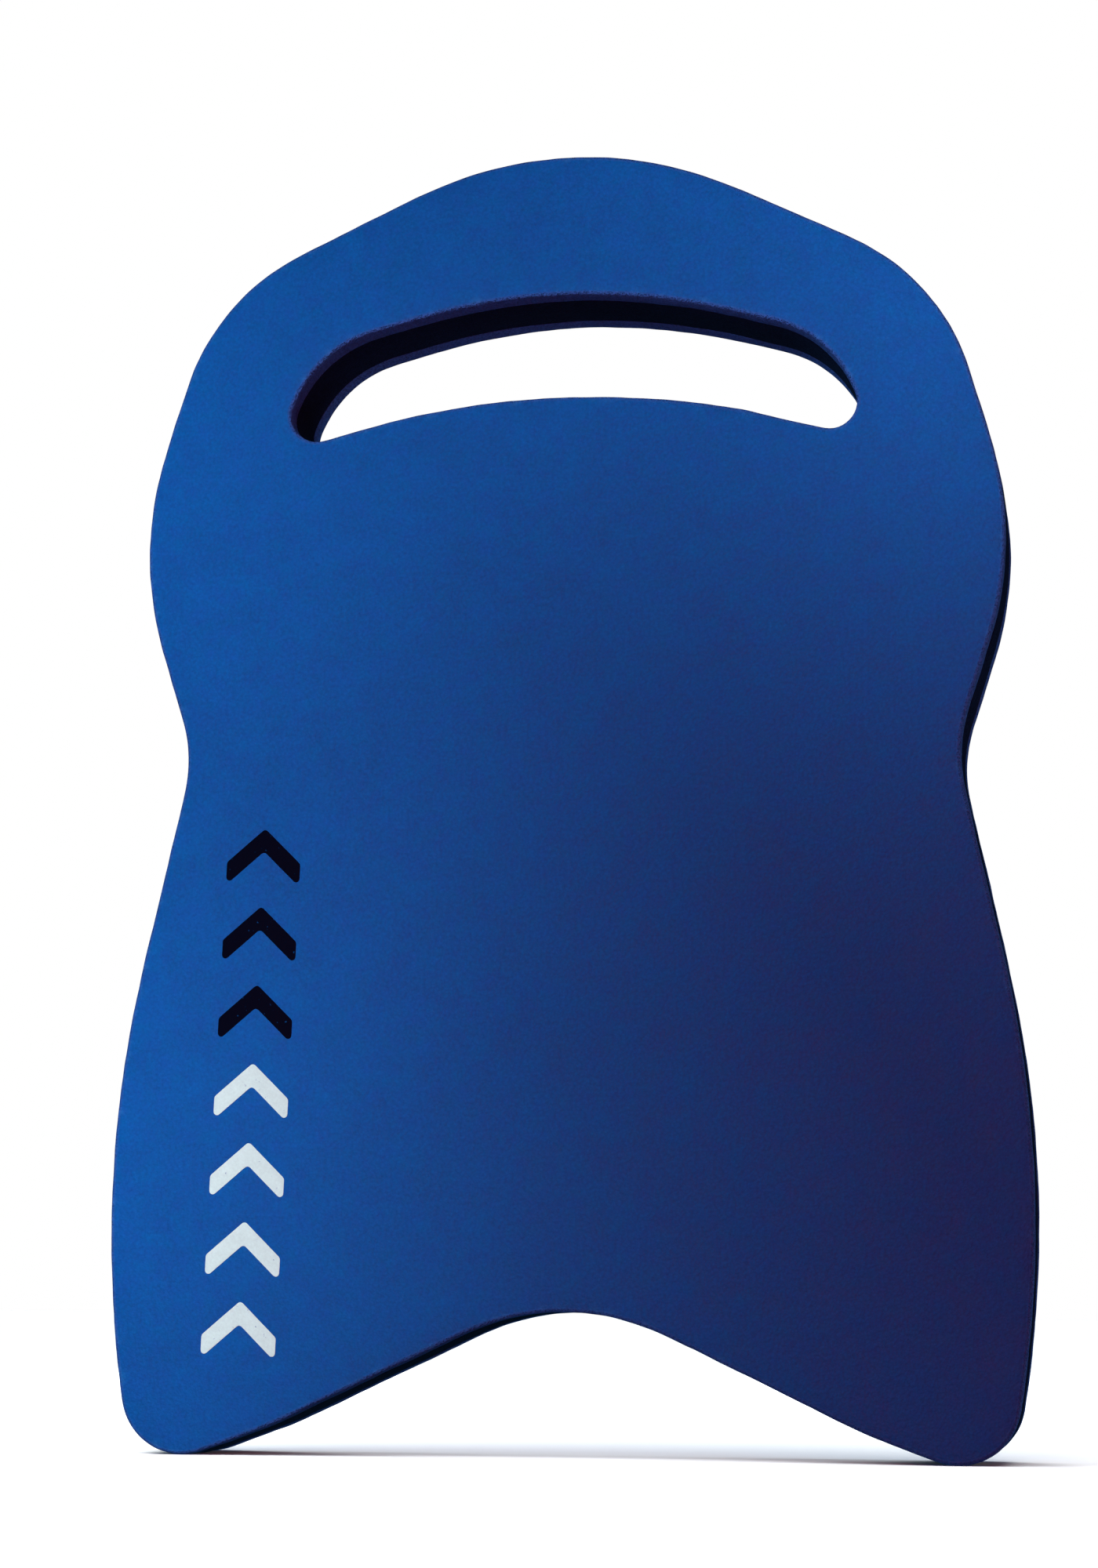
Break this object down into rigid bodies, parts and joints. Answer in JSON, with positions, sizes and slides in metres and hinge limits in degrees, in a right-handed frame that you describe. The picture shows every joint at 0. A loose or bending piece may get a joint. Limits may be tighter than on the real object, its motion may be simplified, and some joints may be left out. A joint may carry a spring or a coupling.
{
  "type": "kickboard float",
  "caption": "Flat foam swimming board with a rounded nose, pinched waist, notched tail and a crescent hand slot, laminated in blue and black foam with printed chevrons.",
  "frame": {"origin": "under the middle of the board, level with the tips of its two tail lobes and midway through its thickness", "axes": "+Z from the tail to the nose, Y through the thickness with the printed front towards -Y and the back towards +Y, X across the width"},
  "size_m": [0.315, 0.05, 0.4499],
  "materials": {
    "foam_blue": "matt closed-cell EVA foam skin with a fine even grain, royal blue",
    "foam_black": "cut closed-cell EVA foam, black, with open cells on the cut edge",
    "print_light": "printed film pressed into the foam, off-white, satin",
    "print_dark": "printed film pressed into the foam, black, satin"
  },
  "bodies": {
    "root": {"front_foam_sheet": "foam_blue", "core_foam_sheet": "foam_black", "back_foam_sheet": "foam_blue", "print_light_1": "print_light", "print_light_2": "print_light", "print_light_3": "print_light", "print_light_4": "print_light", "print_dark_1": "print_dark", "print_dark_2": "print_dark", "print_dark_3": "print_dark"}
  },
  "joints": []
}
